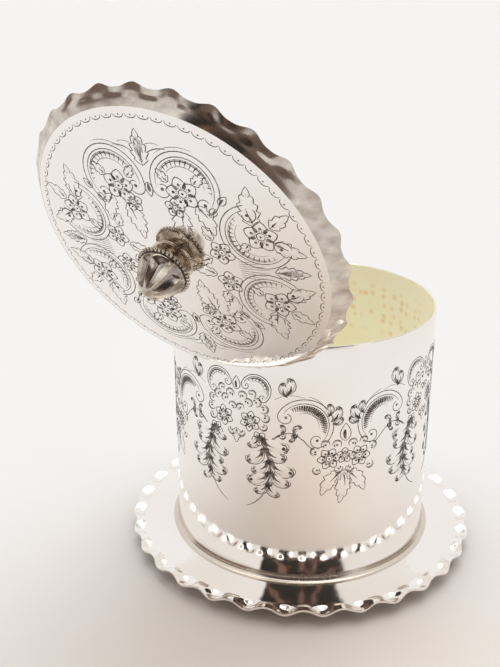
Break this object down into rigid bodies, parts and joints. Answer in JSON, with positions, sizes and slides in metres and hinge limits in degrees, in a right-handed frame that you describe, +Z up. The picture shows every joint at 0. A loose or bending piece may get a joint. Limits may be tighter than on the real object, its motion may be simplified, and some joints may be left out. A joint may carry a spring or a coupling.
{
  "type": "lidded sugar box",
  "caption": "Round straight-sided silver-plated sugar box with an engraved hinged lid and a pointed finial, on a tray with a frilled edge.",
  "frame": {"origin": "on the table, at the middle of the foot ring's flat underside and on the body's axis", "axes": "+Z up along the body's axis; the lid's hinge lies at 116 degrees clockwise from +X seen from above, towards -Y"},
  "size_m": [0.1828, 0.2057, 0.2272],
  "materials": {
    "silver": "polished silver plate",
    "gilt": "pale gold wash, satin",
    "hinge_silver": "worn silver plate",
    "fastener": "turned, dulled"
  },
  "bodies": {
    "box": {"tray_dish": "silver", "foot_ring": "silver", "base_moulding": "silver", "body_wall": "silver", "body_floor": "gilt", "body_hinge_leaf": "hinge_silver", "hinge_pin": "hinge_silver"},
    "lid": {"lid_dome": "silver", "lid_border": "silver", "lid_bezel": "silver", "lid_hinge_leaf": "hinge_silver", "finial_stem": "silver", "finial_collar": "silver", "finial_bud": "silver", "finial_stud": "fastener", "finial_washer": "fastener", "finial_nut": "fastener"}
  },
  "joints": [
    {"name": "lid_hinge", "type": "hinge", "parent": "box", "child": "lid", "pos_m": [-0.0274, -0.05617, 0.1144], "axis": [0.8988, -0.4384, 0], "range_deg": [-115.8, 0]}
  ]
}
